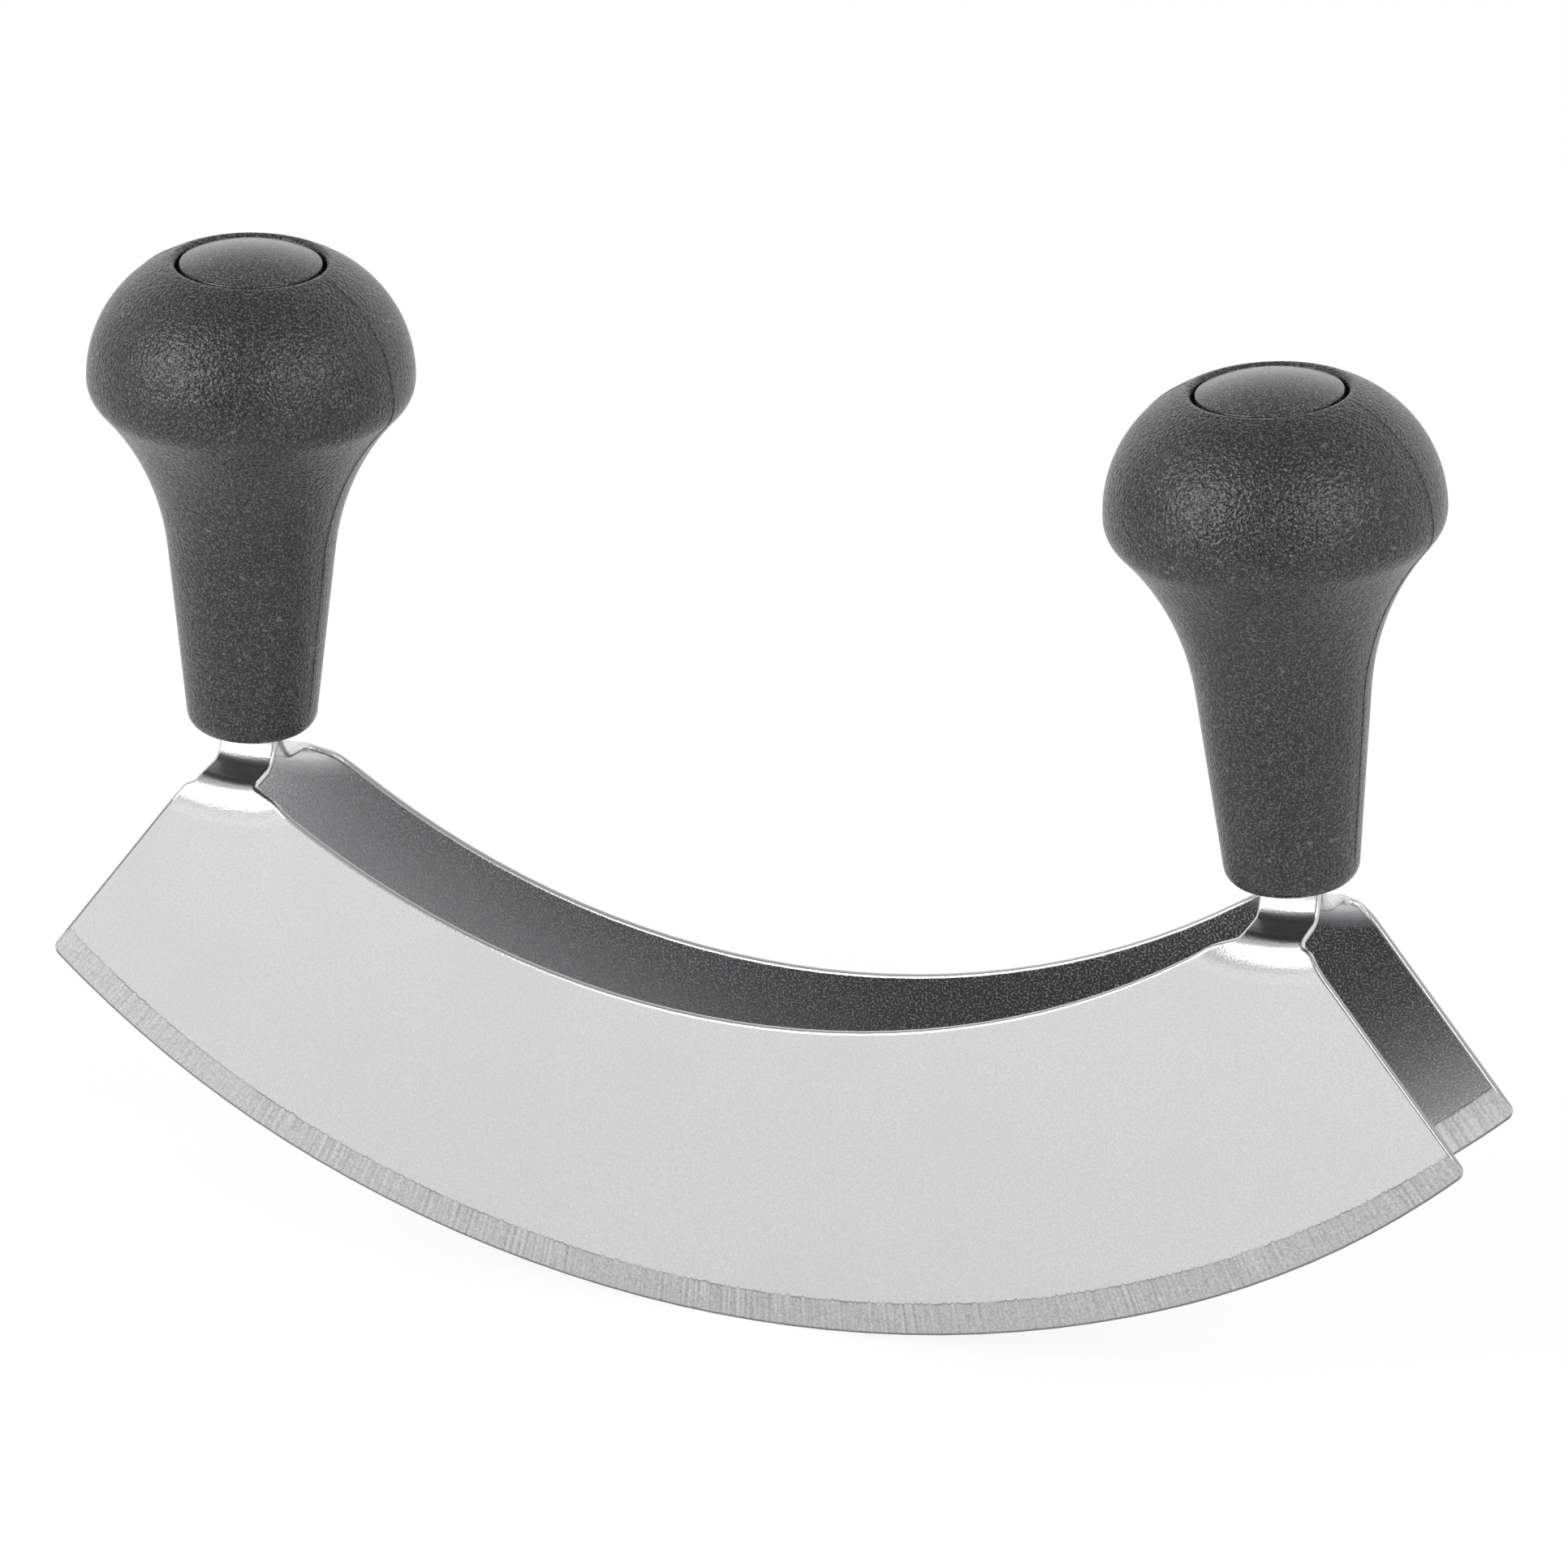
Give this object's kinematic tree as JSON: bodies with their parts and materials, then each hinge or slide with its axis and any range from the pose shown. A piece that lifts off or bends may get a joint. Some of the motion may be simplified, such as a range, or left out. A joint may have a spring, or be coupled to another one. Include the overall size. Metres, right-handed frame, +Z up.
{
  "type": "mezzaluna",
  "caption": "Rocking herb chopper: parallel curved blades held a finger's width apart between upright knob-shaped grips, for mincing on a board.",
  "frame": {"origin": "on the ground, below the middle of the tool, at the height of the lowest point of the cutting edges", "axes": "+X along the blades towards the right grip, +Y across them from the front blade to the rear blade, +Z up towards the knobs"},
  "size_m": [0.1774, 0.0382, 0.1223],
  "materials": {
    "blade_steel": "satin stainless sheet, ground cutting edge, tumbled bright at its rim",
    "grip_plastic": "dark grey, fine moulded grain",
    "cap_plastic": "dark grey, smoother than the grip",
    "fastening_steel": "plain drawn steel, not seen"
  },
  "bodies": {
    "root": {"front_blade": "blade_steel", "rear_blade": "blade_steel", "left_grip": "grip_plastic", "right_grip": "grip_plastic", "left_cap": "cap_plastic", "right_cap": "cap_plastic", "left_tang_washer": "fastening_steel", "right_tang_washer": "fastening_steel", "left_tang_pin": "fastening_steel", "right_tang_pin": "fastening_steel"}
  },
  "joints": []
}
